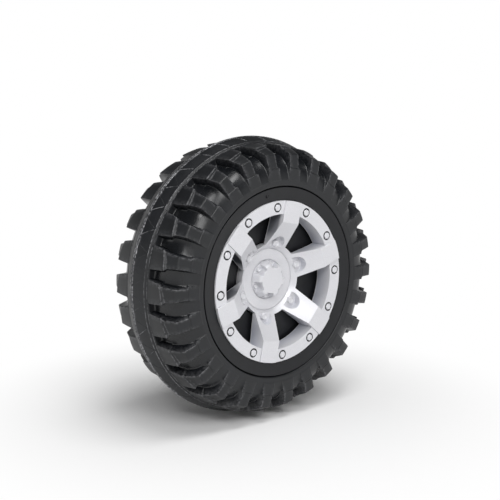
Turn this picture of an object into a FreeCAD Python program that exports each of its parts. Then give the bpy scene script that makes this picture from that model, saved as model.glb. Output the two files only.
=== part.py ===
import FreeCAD, Part
import math
import os

# Rear wheel of a child's ride-on off-road car, on its axle stub.
# Millimetres, +Z up, the axle along Y. The outer face looks along -Y and the car drives along +X.
# The origin is on the axle's axis, in the middle of its free stub.

# Tyre: a hollow moulding with flat facets between its lugs
tyre_radius = 188.8
band_half_width = 22.9
band_edge_drop = 9.4
floor_depth = 19.1
tyre_wall = 4.0
shoulder_wall = 6.8
crown_wall = 4.8
sidewall_half_width = 66.4
shoulder_floor_radius = 158.0
shoulder_floor_half_width = 59.0
bead_radius = 125.5

# Lugs: places along one lug, from the centre band out and down the side
lug_count = 26
lug_phase = 94.7
lug_shift = 2.3
crown_end_half_width = 47.2
crown_end_drop = 10.9
crown_slant = 3.5
crown_step = 2.6
shoulder_half_width = 65.5
shoulder_radius = 168.2
side_bar_half_width = 70.0
side_bar_radius = 149.6
side_bar_step = 0.9
side_bar_end_radius = 130.6
lug_width_at_band = 30.4
lug_width_at_crown_end = 24.6
lug_width_below_crown = 18.9
lug_width_at_shoulder = 14.8
lug_width_above_bar = 13.7
side_bar_width = 19.8
side_bar_end_width = 19.1
crown_draft = 0.12
shoulder_draft = 0.35
bar_draft = 0.5
lug_root = 2.0
lug_lap = 1.0
lug_dip = 0.3

# Rim halves
flange_rise = 2.4
flange_lift = 1.9
ring_inner_depth = 1.7
trim_gap = 0.7
trim_seat_depth = 3.0
rim_wall = 3.0
barrel_radius = 97.0
disc_depth = 30.0
well_radius = 52.0
well_depth = 60.0
bead_seat = 12.0
bead_step = 0.2
flange_edge = 1.2
back_flange_lip = 1.0
rim_tube_radius = 17.0
back_recess = 8.6
back_step_radius = 88.0
back_step_depth = 5.0
vent_angle = 101.0
vent_radius = 116.5
vent_nub_radius = 2.2
vent_nub_height = 1.4
vent_nub_root = 1.0

# Spoke cover
trim_radius = 107.5
window_outer_radius = 89.8
cover_wall = 2.4
cover_edge = 0.6
skirt_depth = 26.0
spoke_count = 6
spoke_phase = 78.15
spoke_lift = 2.0
spoke_width_tip = 27.2
spoke_width_bend = 28.0
spoke_width_root = 34.0
spoke_bend_inset = 11.3
spoke_edge_gap = 0.4
corner_gusset = 4.5
gusset_lap = 1.0
well_gap = 1.0
hub_cone_radius = 48.4
hub_cone_depth = 20.3
cover_foot = 33.0
cap_bore_depth = 26.8
pocket_circle = 47.8
pocket_radius = 11.4
pocket_floor_depth = 23.0

# Cap, bolts and nuts on the cover
cap_radius = 41.4
cap_gap = 0.3
cap_face_depth = 27.4
cap_wall = 2.5
cap_skirt = 12.0
cap_edge = 2.0
knob_height = 12.0
knob_top_radius = 20.6
knob_edge = 2.0
knob_base_radius = 25.8
notch_count = 6
notch_reach = 17.5
notch_width = 12.2
notch_corner = 2.5
notch_sill = 1.4
stud_circle = 22.6
stud_radius = 2.8
stud_height = 2.6
bolt_count = 12
bolt_circle = 98.8
bolt_phase = 92.7
bolt_flats = 8.2
bolt_height = 1.0
bolt_recess_radius = 5.9
bolt_recess_depth = 1.0
nut_circle = 49.0
nut_flats = 9.5
nut_height = 4.0

# Axle and what runs on it
axle_radius = 6.0
running_gap = 0.05
seat_gap = 0.05
stub_half_length = 15.0
stub_chamfer = 1.0
collar_radius = 12.0
collar_length = 6.0
washer_radius = 14.0
washer_thickness = 2.0
end_play = 0.4
bush_radius = 11.0
bush_flange_radius = 15.0
bush_flange = 2.0
bush_length = 26.0
locknut_flats = 19.0
locknut_height = 10.0
thread_past_nut = 3.0
thread_chamfer = 1.0

# Drive socket on the inboard disc
socket_radius = 34.0
socket_bore = 24.0
socket_height = 9.0
socket_slots = 6
socket_slot_width = 9.0
socket_base = 3.0
socket_chamfer = 1.0

# Places along the axle, worked out from the inboard end outward
collar_face = -stub_half_length - collar_length
inner_washer_face = collar_face - washer_thickness
bush_face = inner_washer_face - end_play
back_disc_face = bush_face - bush_flange
tyre_centre = back_disc_face + back_recess - sidewall_half_width - flange_rise
trim_plane = tyre_centre - sidewall_half_width - flange_rise + flange_lift
lug_pitch = 360.0 / lug_count
bead_corner_radius = bead_radius / math.cos(math.radians(lug_pitch / 2))
spoke_pitch = 360.0 / spoke_count
bush_bore = bush_radius + seat_gap
trim_seat_radius = trim_radius + trim_gap
bead_seat_radius = bead_radius - bead_step
spoke_bend_radius = window_outer_radius - spoke_bend_inset
spoke_slope = (hub_cone_depth + spoke_lift) / (spoke_bend_radius - hub_cone_radius)
band_edge_radius = tyre_radius - band_edge_drop
crown_end_radius = tyre_radius - crown_end_drop
floor_radius = tyre_radius - floor_depth
front_bush_face = trim_plane + well_depth - bush_flange
outer_washer_face = front_bush_face - end_play
locknut_face = outer_washer_face - washer_thickness - locknut_height


def at_angle(radius, degrees, y):
    """A point on the wheel: angle from +X towards +Z."""
    a = math.radians(degrees)
    return FreeCAD.Vector(radius * math.cos(a), y, radius * math.sin(a))


def revolved(points):
    """A ring or disc about the axle, from a closed outline of (radius, y) corners."""
    corners = [FreeCAD.Vector(r, y, 0) for r, y in points]
    face = Part.Face(Part.makePolygon(corners + corners[:1]))
    return face.revolve(FreeCAD.Vector(0, 0, 0), FreeCAD.Vector(0, 1, 0), 360)


def rod(radius, y_start, y_end, centre=None):
    """A round bar along Y between two places."""
    low, high = sorted((y_start, y_end))
    base = FreeCAD.Vector(0, low, 0)
    if centre is not None:
        base = FreeCAD.Vector(centre.x, low, centre.z)
    return Part.makeCylinder(radius, high - low, base, FreeCAD.Vector(0, 1, 0))


def hexagon(flats, y_start, y_end, centre=None, turn=0.0):
    """A hexagonal bar along Y."""
    low, high = sorted((y_start, y_end))
    corner = flats / 2 / math.cos(math.radians(30))
    x, z = (centre.x, centre.z) if centre is not None else (0.0, 0.0)
    points = []
    for i in range(6):
        a = math.radians(turn + 60 * i)
        points.append(FreeCAD.Vector(x + corner * math.cos(a), low, z + corner * math.sin(a)))
    face = Part.Face(Part.makePolygon(points + points[:1]))
    return face.extrude(FreeCAD.Vector(0, high - low, 0))


def chamfered_nut(flats, y_face, height, centre=None, turn=0.0, cut=0.18):
    """A hexagonal nut or bolt head whose outer corners are turned off; its face looks along -Y."""
    body = hexagon(flats, y_face, y_face + height, centre, turn)
    corner = flats / 2 / math.cos(math.radians(30))
    x, z = (centre.x, centre.z) if centre is not None else (0.0, 0.0)
    depth = corner * cut
    cone = Part.makeCone(
        corner - depth * 0.9, corner + (height - depth) * 1.2, height + 0.2,
        FreeCAD.Vector(x, y_face, z), FreeCAD.Vector(0, 1, 0))
    return body.common(cone)


def turned(shape, degrees):
    """The shape turned about the axle, from +X towards +Z."""
    copy = shape.copy()
    copy.rotate(FreeCAD.Vector(0, 0, 0), FreeCAD.Vector(0, 1, 0), -degrees)
    return copy


def mirrored(shape):
    """The shape on the other side of the tyre's middle plane."""
    return shape.mirror(FreeCAD.Vector(0, tyre_centre, 0), FreeCAD.Vector(0, 1, 0))


def polyhedron(faces):
    """A closed solid from flat faces given by their corners."""
    made = [Part.Face(Part.makePolygon(list(f) + [f[0]])) for f in faces]
    solid = Part.Solid(Part.makeShell(made))
    if solid.Volume < 0:
        solid.reverse()
    return solid


def both_sides(half):
    """A closed outline of (radius, y) corners from one half's (half width, radius) corners."""
    return [(r, tyre_centre - h) for h, r in half] + [(r, tyre_centre + h) for h, r in reversed(half)]


def faceted_ring(outline, count):
    """A ring about the axle with flat facets, its corners under the lugs."""
    angles = [lug_phase + i * 360.0 / count for i in range(count)]
    faces = []
    for (ra, ya), (rb, yb) in zip(outline, outline[1:] + outline[:1]):
        for a, b in zip(angles, angles[1:] + angles[:1]):
            faces.append([
                at_angle(ra, a, ya), at_angle(rb, a, yb),
                at_angle(rb, b, yb), at_angle(ra, b, ya)])
    return polyhedron(faces)


def floor_outline():
    """The carcass between the lugs, from under the band to the bead, as (half width, radius)."""
    return [
        (band_half_width - lug_lap, floor_radius),
        (shoulder_floor_half_width, shoulder_floor_radius),
        (sidewall_half_width, bead_corner_radius),
    ]


def hollow_outline():
    """The hollow inside, a wall within the carcass, as (half width, radius)."""
    return [
        (sidewall_half_width - tyre_wall, bead_corner_radius + tyre_wall / 2),
        (shoulder_floor_half_width - lug_lap, shoulder_floor_radius - shoulder_wall),
        (band_half_width, floor_radius - crown_wall),
    ]


def centre_band():
    """The band round the middle: a low roof that stands on the carcass."""
    foot = floor_radius - tyre_wall / 2
    half = [(band_half_width, foot), (band_half_width, band_edge_radius)]
    outline = [(r, tyre_centre - h) for h, r in half]
    outline.append((tyre_radius, tyre_centre))
    outline += [(r, tyre_centre + h) for h, r in reversed(half)]
    return faceted_ring(outline, lug_count)


def lug_stations():
    """Places along a lug's top: half width, radius, width, shift, slant, fall over the slant, draft."""
    start = band_half_width - lug_lap
    top = band_edge_radius - lug_dip
    crown_fall = (top - crown_end_radius) / (crown_end_half_width - start)
    step_half_width = crown_end_half_width + crown_step / 2
    step_radius = crown_end_radius - crown_step
    shoulder_fall = (step_radius - shoulder_radius) / (shoulder_half_width - step_half_width)
    ledge = side_bar_half_width - side_bar_step
    above_bar = side_bar_radius + 2 * side_bar_step
    return [
        (start, top, lug_width_at_band, lug_shift, 0.0, 0.0, crown_draft),
        (crown_end_half_width, crown_end_radius, lug_width_at_crown_end, lug_shift,
         crown_slant, crown_fall, crown_draft),
        (step_half_width, step_radius, lug_width_below_crown, lug_shift,
         crown_slant, shoulder_fall, crown_draft),
        (shoulder_half_width, shoulder_radius, lug_width_at_shoulder, lug_shift, 0.0, 0.0, shoulder_draft),
        (ledge, above_bar, lug_width_above_bar, lug_shift, 0.0, 0.0, shoulder_draft),
        (side_bar_half_width, side_bar_radius, side_bar_width, 0.0, 0.0, 0.0, bar_draft),
        (side_bar_half_width, side_bar_end_radius, side_bar_end_width, 0.0, 0.0, 0.0, bar_draft),
    ]


def nearest_floor(h, r):
    """The nearest place on the carcass to a place outside it, and how far off it is."""
    found = []
    outline = floor_outline()
    for (ha, ra), (hb, rb) in zip(outline, outline[1:]):
        length = (hb - ha) ** 2 + (rb - ra) ** 2
        share = ((h - ha) * (hb - ha) + (r - ra) * (rb - ra)) / length
        share = min(1.0, max(0.0, share))
        place = (ha + share * (hb - ha), ra + share * (rb - ra))
        found.append((math.dist(place, (h, r)), place))
    return min(found)


def lug():
    """One lug of the outer side, at angle 0, its top stepped down the shoulder to the low side bar."""
    rows = []
    for h, r, width, shift, slant, fall, draft in lug_stations():
        height, (floor_h, floor_r) = nearest_floor(h, r)
        sink = (height + lug_root) / height
        root_h = h + (floor_h - h) * sink
        root_r = r + (floor_r - r) * sink
        foot = width / 2 + draft * (height + lug_root)
        row = []
        for side in (-1, 1):
            lean = side * slant
            top_z = shift + side * width / 2
            row.append(FreeCAD.Vector(r - fall * lean, tyre_centre - h - lean, top_z))
        for side in (1, -1):
            row.append(FreeCAD.Vector(root_r, tyre_centre - root_h, shift + side * foot))
        rows.append(row)
    faces = [rows[0], rows[-1][::-1]]
    for near, far in zip(rows, rows[1:]):
        for i in range(4):
            j = (i + 1) % 4
            quad = [near[i], near[j], far[j], far[i]]
            normal = (quad[1] - quad[0]).cross(quad[2] - quad[0])
            if abs(normal.dot(quad[3] - quad[0])) < 1e-6 * normal.Length:
                faces.append(quad)
            else:
                faces.append([near[i], near[j], far[j]])
                faces.append([near[i], far[j], far[i]])
    return polyhedron(faces)


def tyre():
    """Carcass, band and the lugs of both sides as one hollow moulding."""
    block = lug()
    solids = [centre_band()]
    for i in range(lug_count):
        front = turned(block, lug_phase + i * lug_pitch)
        solids.append(front)
        solids.append(mirrored(front))
    whole = faceted_ring(both_sides(floor_outline()[::-1]), lug_count).multiFuse(solids)
    hollow = faceted_ring(both_sides(hollow_outline()), lug_count // 2)
    return whole.cut(hollow).removeSplitter()


def rim_front():
    """Black outer half: flange ring, seat for the cover, barrel, disc, and a well for the axle nut."""
    face = trim_plane
    seat = face + trim_seat_depth
    disc = face + disc_depth
    well = face + well_depth
    middle = tyre_centre
    bead = bead_seat_radius
    return revolved([
        (bush_bore, well),
        (well_radius, well),
        (well_radius, disc),
        (barrel_radius - rim_wall, disc),
        (barrel_radius - rim_wall, seat),
        (trim_seat_radius, seat),
        (trim_seat_radius, face + ring_inner_depth),
        (bead_radius, face - flange_lift),
        (bead_radius, face + flange_edge),
        (bead, face + flange_edge),
        (bead, face + bead_seat),
        (bead - rim_wall, face + bead_seat),
        (bead - rim_wall, seat + rim_wall),
        (barrel_radius, seat + rim_wall),
        (barrel_radius, disc + rim_wall),
        (well_radius + rim_wall, disc + rim_wall),
        (well_radius + rim_wall, well + rim_wall),
        (rim_tube_radius, well + rim_wall),
        (rim_tube_radius, middle),
        (bush_bore, middle),
    ])


def rim_back():
    """Black inboard half: nearly flush disc with one step, and the tube that meets the outer half."""
    face = back_disc_face
    step = face - back_step_depth
    middle = tyre_centre
    bead = bead_seat_radius
    flange = tyre_centre + sidewall_half_width + flange_rise - flange_lift
    lip = bead - rim_wall - back_flange_lip
    return revolved([
        (bush_bore, middle),
        (rim_tube_radius, middle),
        (rim_tube_radius, face - rim_wall),
        (back_step_radius - rim_wall, face - rim_wall),
        (back_step_radius - rim_wall, step - rim_wall),
        (bead - rim_wall, step - rim_wall),
        (bead - rim_wall, flange - bead_seat),
        (bead, flange - bead_seat),
        (bead, flange),
        (lip, flange),
        (lip, step),
        (back_step_radius, step),
        (back_step_radius, face),
        (bush_bore, face),
    ])


def prism(outline, low, high):
    """A flat outline of (radial, tangential) corners, standing along Y between two places."""
    points = [FreeCAD.Vector(r, low, w) for r, w in outline]
    face = Part.Face(Part.makePolygon(points + points[:1]))
    return face.extrude(FreeCAD.Vector(0, high - low, 0))


def side_prism(outline, half_width):
    """A side outline of (radial, depth behind the cover's face) corners, spread to both sides."""
    points = [FreeCAD.Vector(r, trim_plane + d, -half_width) for r, d in outline]
    face = Part.Face(Part.makePolygon(points + points[:1]))
    return face.extrude(FreeCAD.Vector(0, 0, 2 * half_width))


def spoke_plan(inset):
    """Outline of a spoke seen from outside, set in by a wall where asked."""
    inner = hub_cone_radius - cover_wall + inset
    outer = window_outer_radius - inset if inset else trim_radius - spoke_edge_gap
    root = spoke_width_root / 2 - inset
    bend = spoke_width_bend / 2 - inset
    tip = spoke_width_tip / 2 - inset
    upper = [(inner, root), (spoke_bend_radius, bend), (outer, tip)]
    return [(r, -w) for r, w in upper] + upper[::-1]


def spoke_side(inset):
    """Side outline of a spoke: level over the ring, then sloping in to the hub."""
    inner = hub_cone_radius - cover_wall + inset
    top = inset - spoke_lift
    root_depth = hub_cone_depth + inset + (hub_cone_radius - inner) * spoke_slope
    if inset:
        outer = window_outer_radius - inset
        foot = skirt_depth + cover_wall
        return [
            (inner, root_depth), (spoke_bend_radius, top), (outer, top),
            (outer, foot), (inner, foot + cover_wall)]
    outer = trim_radius - spoke_edge_gap
    step = math.sqrt((well_radius - well_gap) ** 2 - (spoke_width_root / 2) ** 2)
    return [
        (inner, root_depth), (spoke_bend_radius, top), (outer, top), (outer, trim_seat_depth),
        (window_outer_radius, trim_seat_depth), (window_outer_radius, skirt_depth),
        (step, skirt_depth), (step, cover_foot), (inner, cover_foot)]


def pocket(radius, depth):
    """A round pocket with a flat floor that opens towards the hub, at angle 0."""
    centre = FreeCAD.Vector(pocket_circle, 0, 0)
    return rod(radius, trim_plane - cover_foot, trim_plane + depth, centre)


def gussets():
    """The two small corner pieces where a spoke's sides meet the ring, at angle 0."""
    side = spoke_width_bend / 2 - gusset_lap
    end = window_outer_radius + gusset_lap
    made = []
    for way in (-1, 1):
        outline = [
            (end - corner_gusset - gusset_lap, way * side),
            (end, way * (side + corner_gusset)),
            (end, way * side)]
        made.append(prism(outline, trim_plane, trim_plane + skirt_depth))
    return made


def spoke():
    """One hollow spoke at angle 0 with the cup of its nut pocket and its two corner gussets."""
    reach = trim_radius
    whole = prism(spoke_plan(0.0), trim_plane - reach, trim_plane + reach)
    whole = whole.common(side_prism(spoke_side(0.0), reach))
    hollow = prism(spoke_plan(cover_wall), trim_plane - reach, trim_plane + reach)
    hollow = hollow.common(side_prism(spoke_side(cover_wall), reach))
    shell = whole.cut(hollow)
    cup = pocket(pocket_radius + cover_wall, pocket_floor_depth + cover_wall).common(whole)
    return shell.multiFuse([cup] + gussets())


def spoke_cover():
    """Silver cover: ring, spokes and hub in one moulding, with its pockets and bolt recesses."""
    face = trim_plane
    ring = revolved([
        (window_outer_radius, face),
        (trim_radius - cover_edge, face),
        (trim_radius, face + cover_edge),
        (trim_radius, face + trim_seat_depth),
        (window_outer_radius + cover_wall, face + trim_seat_depth),
        (window_outer_radius + cover_wall, face + skirt_depth),
        (window_outer_radius, face + skirt_depth),
    ])
    bore = cap_radius + cap_gap
    hub = revolved([
        (bore, face + cap_bore_depth),
        (hub_cone_radius, face + hub_cone_depth),
        (hub_cone_radius, face + cover_foot),
        (bore, face + cover_foot),
    ])
    one = spoke()
    shape = ring.fuse(hub)
    for i in range(spoke_count):
        shape = shape.fuse(turned(one, spoke_phase + i * spoke_pitch))
    shape = shape.cut(rod(bore, face - cover_foot, face + 2 * cover_foot))
    cutters = []
    for i in range(spoke_count):
        angle = spoke_phase + i * spoke_pitch
        cutters.append(turned(pocket(pocket_radius, pocket_floor_depth), angle))
    for i in range(bolt_count):
        centre = at_angle(bolt_circle, bolt_phase + i * 360.0 / bolt_count, 0)
        cutters.append(rod(bolt_recess_radius, face - bolt_height, face + bolt_recess_depth, centre))
    return shape.cut(Part.makeCompound(cutters))


def ring_bolts():
    """Hexagon heads round the ring, each seated in its shallow recess."""
    heads = []
    for i in range(bolt_count):
        angle = bolt_phase + i * 360.0 / bolt_count
        centre = at_angle(bolt_circle, angle, 0)
        top = trim_plane - bolt_height
        heads.append(chamfered_nut(bolt_flats, top, bolt_height + bolt_recess_depth, centre, angle))
    return Part.makeCompound(heads)


def lug_nuts():
    """A nut on the floor of each spoke's pocket."""
    nuts = []
    for i in range(spoke_count):
        angle = spoke_phase + i * spoke_pitch
        centre = at_angle(nut_circle, angle, 0)
        top = trim_plane + pocket_floor_depth - nut_height
        nuts.append(chamfered_nut(nut_flats, top, nut_height, centre, angle))
    return Part.makeCompound(nuts)


def notch():
    """A notch in the knob's side, open to its top, at angle 0."""
    half = notch_width / 2
    outer = knob_base_radius + notch_corner
    inner = notch_reach + notch_corner
    upper = [(notch_reach, half - notch_corner), (inner, half), (outer, half)]
    outline = [(r, -w) for r, w in upper] + upper[::-1]
    face = trim_plane + cap_face_depth
    return prism(outline, face - 2 * knob_height, face - notch_sill)


def centre_cap():
    """Round cap with a notched knob in its middle and a short skirt that grips the cover's bore."""
    face = trim_plane + cap_face_depth
    top = face - knob_height
    shape = revolved([
        (0, top),
        (knob_top_radius, top),
        (knob_top_radius + knob_edge, top + knob_edge),
        (knob_base_radius, face),
        (cap_radius - cap_edge, face),
        (cap_radius, face + cap_edge),
        (cap_radius, face + cap_skirt),
        (cap_radius - cap_wall, face + cap_skirt),
        (cap_radius - cap_wall, face + cap_wall),
        (0, face + cap_wall),
    ])
    cutters = [turned(notch(), spoke_phase + i * 360.0 / notch_count) for i in range(notch_count)]
    return shape.cut(Part.makeCompound(cutters))


def cap_studs():
    """A small round stud on the sill of each of the knob's notches."""
    sill = trim_plane + cap_face_depth - notch_sill
    studs = []
    for i in range(notch_count):
        centre = at_angle(stud_circle, spoke_phase + i * 360.0 / notch_count, 0)
        studs.append(rod(stud_radius, sill - stud_height, sill, centre))
    return Part.makeCompound(studs)


def vent_nub():
    """Moulding vent that stands on the flange ring, part of the rim's outer half."""
    centre = at_angle(vent_radius, vent_angle, 0)
    share = (vent_radius - trim_seat_radius) / (bead_radius - trim_seat_radius)
    surface = trim_plane + ring_inner_depth - (ring_inner_depth + flange_lift) * share
    base = FreeCAD.Vector(centre.x, surface + vent_nub_root, centre.z)
    return Part.makeCone(
        vent_nub_radius, vent_nub_radius * 0.6, vent_nub_root + vent_nub_height,
        base, FreeCAD.Vector(0, -1, 0))


def bush(face, toward):
    """Flanged bush: its flange lies on the outside of the hub, its barrel goes in."""
    bore = axle_radius + running_gap
    return revolved([
        (bore, face),
        (bush_flange_radius, face),
        (bush_flange_radius, face + toward * bush_flange),
        (bush_radius, face + toward * bush_flange),
        (bush_radius, face + toward * bush_length),
        (bore, face + toward * bush_length),
    ])


def drive_socket():
    """Slotted ring on the inboard disc that the gearbox's dogs turn."""
    face = back_disc_face
    top = face + socket_height
    ring = revolved([
        (socket_bore, face),
        (socket_radius, face),
        (socket_radius, top - socket_chamfer),
        (socket_radius - socket_chamfer, top),
        (socket_bore, top),
    ])
    slots = []
    for i in range(socket_slots):
        bar = Part.makeBox(
            socket_radius * 1.1, top - face - socket_base, socket_slot_width,
            FreeCAD.Vector(0, face + socket_base, -socket_slot_width / 2))
        slots.append(turned(bar, i * 360.0 / socket_slots))
    return ring.cut(Part.makeCompound(slots))


def axle_shaft():
    """Steel axle stub: free end with a chamfer, stop collar, then the journal out to the nut."""
    end = stub_half_length
    outer = locknut_face - thread_past_nut
    return revolved([
        (0, outer),
        (axle_radius - thread_chamfer, outer),
        (axle_radius, outer + thread_chamfer),
        (axle_radius, collar_face),
        (collar_radius, collar_face),
        (collar_radius, -stub_half_length),
        (axle_radius, -stub_half_length),
        (axle_radius, end - stub_chamfer),
        (axle_radius - stub_chamfer, end),
        (0, end),
    ])


def washer(face):
    """A plain washer on the axle, from its inboard face outward."""
    return revolved([
        (axle_radius + seat_gap, face),
        (washer_radius, face),
        (washer_radius, face - washer_thickness),
        (axle_radius + seat_gap, face - washer_thickness),
    ])


def lock_nut():
    """The nut that holds the wheel on the axle, inside the rim's well."""
    body = chamfered_nut(locknut_flats, locknut_face, locknut_height)
    start = locknut_face - locknut_height
    return body.cut(rod(axle_radius + seat_gap, start, start + 3 * locknut_height))


parts = {}
parts["tyre"] = tyre()
parts["rim_front"] = rim_front().fuse(vent_nub())
parts["rim_back"] = rim_back()
parts["spoke_cover"] = spoke_cover()
parts["ring_bolts"] = ring_bolts()
parts["lug_nuts"] = lug_nuts()
parts["centre_cap"] = centre_cap()
parts["cap_studs"] = cap_studs()
parts["front_bush"] = bush(front_bush_face, 1)
parts["back_bush"] = bush(bush_face, -1)
parts["drive_socket"] = drive_socket()
parts["axle_shaft"] = axle_shaft()
parts["inner_washer"] = washer(collar_face)
parts["outer_washer"] = washer(outer_washer_face)
parts["lock_nut"] = lock_nut()

os.makedirs("parts", exist_ok=True)
for name, shape in parts.items():
    shape.exportStep("parts/" + name + ".step")
    print(name, shape.isValid(), round(shape.Volume / 1000, 1), len(shape.Solids), shape.BoundBox)
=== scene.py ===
import bmesh
import bpy
import math
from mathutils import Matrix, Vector, noise


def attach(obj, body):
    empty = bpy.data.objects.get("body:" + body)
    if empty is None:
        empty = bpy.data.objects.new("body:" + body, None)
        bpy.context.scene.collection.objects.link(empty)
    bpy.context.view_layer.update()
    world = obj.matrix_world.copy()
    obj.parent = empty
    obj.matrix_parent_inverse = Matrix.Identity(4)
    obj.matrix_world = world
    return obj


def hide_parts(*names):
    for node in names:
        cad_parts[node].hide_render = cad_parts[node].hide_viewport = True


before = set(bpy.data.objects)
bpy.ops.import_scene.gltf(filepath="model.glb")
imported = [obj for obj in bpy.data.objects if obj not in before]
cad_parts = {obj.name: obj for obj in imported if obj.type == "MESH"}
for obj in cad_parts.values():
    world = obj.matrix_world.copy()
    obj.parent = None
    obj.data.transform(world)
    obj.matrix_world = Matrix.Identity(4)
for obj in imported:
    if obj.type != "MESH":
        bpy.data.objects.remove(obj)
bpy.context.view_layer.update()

# Off-road wheel of a ride-on toy. Sizes are in millimetres and angles in degrees.
# The axle lies along Y and the silver face looks along -Y; an angle runs from +X towards +Z.
MM = 0.001
tyre_centre = -85.6
trim_plane = -152.5
tyre_radius = 187.9
bead_radius = 125.3
floor_level = -188.6

lug_count = 26
lug_pitch = 360.0 / lug_count
lug_phase = 94.7
spoke_count = 6
spoke_pitch = 360.0 / spoke_count
spoke_phase = 78.15
bolt_count = 12
bolt_pitch = 360.0 / bolt_count
bolt_phase = 92.7
bolt_circle = 98.8

# The spoke cover: radii of its circles, depths behind the ring's face, and its wall's thickness.
cap_bore = 41.7
hub_edge = 48.4
window_outer = 89.8
trim_radius = 107.5
hub_edge_depth = 20.3
cap_edge_depth = 26.8
cover_back = 25.5
hub_back = 33.0
trim_edge = 3.0
cover_wall = 3.0
# A spoke stands proud of the ring, and bends down to the hub at this distance from the axle.
spoke_lift = 2.0
bend_at = 78.5
spoke_half_outer = 13.6
spoke_half_bend = 14.0
spoke_half_root = 17.0
slope = (hub_edge_depth + spoke_lift) / (bend_at - hub_edge)


def on_wheel(radius, degrees, y):
    """A point of the wheel in metres, from millimetres and an angle."""
    a = math.radians(degrees)
    return Vector((radius * math.cos(a), y, radius * math.sin(a))) * MM


# Materials

def linear(hex_colour):
    """An sRGB hex colour as the linear RGBA that shaders take."""
    values = []
    for i in (1, 3, 5):
        c = int(hex_colour[i:i + 2], 16) / 255
        values.append(c / 12.92 if c <= 0.04045 else ((c + 0.055) / 1.055) ** 2.4)
    return (*values, 1.0)


def add_node(tree, kind, links=None, values=None, stops=(), **settings):
    """One node with its settings, its linked and its set sockets, and its colour stops."""
    node = tree.nodes.new(kind)
    for key, value in settings.items():
        if hasattr(node, key):
            setattr(node, key, value)
        else:
            node.inputs[key.replace("_", " ")].default_value = value
    for key, value in (values or {}).items():
        node.inputs[key].default_value = value
    for key, source in (links or {}).items():
        tree.links.new(source, node.inputs[key])
    for i, (place, colour) in enumerate(stops):
        node.color_ramp.elements[i].position = place
        node.color_ramp.elements[i].color = linear(colour)
    return node


def new_material(name):
    """An empty material and its node tree."""
    material = bpy.data.materials.new(name)
    material.use_nodes = True
    material.node_tree.nodes.clear()
    return material, material.node_tree


def per(size):
    """The noise scale that draws a pattern at a size in millimetres."""
    return 1 / (size * MM)


def moulded_polyethylene():
    """Blow-moulded polyethylene: dark, waxy, soft highlights, pale scuffs where it rubs, and pale painted
    highlights on edges.
    """
    material, tree = new_material("blow_moulded_polyethylene")
    place = add_node(tree, "ShaderNodeTexCoord").outputs["Object"]
    # Uneven cooling leaves patches of 25 mm that are a little lighter or duller.
    patches = add_node(tree, "ShaderNodeTexNoise", {"Vector": place}, Scale=per(25.0), Detail=3.0)
    tone = add_node(
        tree, "ShaderNodeValToRGB", {"Fac": patches.outputs["Fac"]},
        stops=[(0.3, "#0F1114"), (0.7, "#15171B")])
    # The mould's grain is 0.15 mm; drawn at 0.8 mm so that it shows.
    grain = add_node(tree, "ShaderNodeTexNoise", {"Vector": place}, Scale=per(0.8), Detail=2.0)
    bump = add_node(
        tree, "ShaderNodeBump", {"Height": grain.outputs["Fac"]}, Strength=0.08, Distance=0.0002)
    # Pale streaks about 3 mm long: scuffs on the band's flash, and painted highlights on the lugs' edges and
    # folds and on the band's ridges and panels.
    scuff_and_shine = add_node(tree, "ShaderNodeAttribute", attribute_name="scuff_and_shine")
    streaks = add_node(tree, "ShaderNodeTexNoise", {"Vector": place}, Scale=per(3.03), Detail=4.0)
    streak_cut = add_node(
        tree, "ShaderNodeMapRange", {"Value": streaks.outputs["Fac"]}, From_Min=0.38, From_Max=0.62)
    scuff_and_shine_mask = add_node(
        tree, "ShaderNodeMath", {0: scuff_and_shine.outputs["Fac"], 1: streak_cut.outputs["Result"]},
        operation="MULTIPLY")
    # The pale grey of the scuffs and of the painted highlights.
    colour = add_node(
        tree, "ShaderNodeMix", {"Factor": scuff_and_shine_mask.outputs[0], 6: tone.outputs["Color"]},
        {7: linear("#BCBCC0")}, data_type="RGBA")
    # The mould is grained on the lugs and polished between them.
    polish = add_node(tree, "ShaderNodeAttribute", attribute_name="polish")
    satin = add_node(
        tree, "ShaderNodeMapRange", {"Value": polish.outputs["Fac"]}, To_Min=0.46, To_Max=0.27)
    uneven = add_node(
        tree, "ShaderNodeMapRange", {"Value": patches.outputs["Fac"]},
        From_Min=0.3, From_Max=0.7, To_Min=-0.03, To_Max=0.03)
    roughness = add_node(
        tree, "ShaderNodeMath", {0: satin.outputs["Result"], 1: uneven.outputs["Result"]},
        operation="ADD")
    shader = add_node(
        tree, "ShaderNodeBsdfPrincipled",
        {"Base Color": colour.outputs[2], "Roughness": roughness.outputs[0],
         "Normal": bump.outputs["Normal"]}, IOR=1.5)
    add_node(tree, "ShaderNodeOutputMaterial", {"Surface": shader.outputs[0]})
    return material


def moulded_black():
    """Injection-moulded black polypropylene: satin, very even, with a fine spark texture."""
    material, tree = new_material("injection_moulded_polypropylene")
    place = add_node(tree, "ShaderNodeTexCoord").outputs["Object"]
    # The flow in the mould leaves faint patches of 17 mm.
    patches = add_node(tree, "ShaderNodeTexNoise", {"Vector": place}, Scale=per(16.7), Detail=2.0)
    tone = add_node(
        tree, "ShaderNodeValToRGB", {"Fac": patches.outputs["Fac"]},
        stops=[(0.3, "#111215"), (0.7, "#15161A")])
    # Spark texture is 0.1 mm; drawn at 0.6 mm so that it shows.
    grain = add_node(tree, "ShaderNodeTexNoise", {"Vector": place}, Scale=per(0.625), Detail=2.0)
    roughness = add_node(
        tree, "ShaderNodeMapRange", {"Value": grain.outputs["Fac"]},
        From_Min=0.3, From_Max=0.7, To_Min=0.4, To_Max=0.46)
    bump = add_node(
        tree, "ShaderNodeBump", {"Height": grain.outputs["Fac"]}, Strength=0.1, Distance=0.0002)
    shader = add_node(
        tree, "ShaderNodeBsdfPrincipled",
        {"Base Color": tone.outputs["Color"], "Roughness": roughness.outputs["Result"],
         "Normal": bump.outputs["Normal"]}, IOR=1.49, Specular_IOR_Level=0.4)
    add_node(tree, "ShaderNodeOutputMaterial", {"Surface": shader.outputs[0]})
    return material


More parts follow.
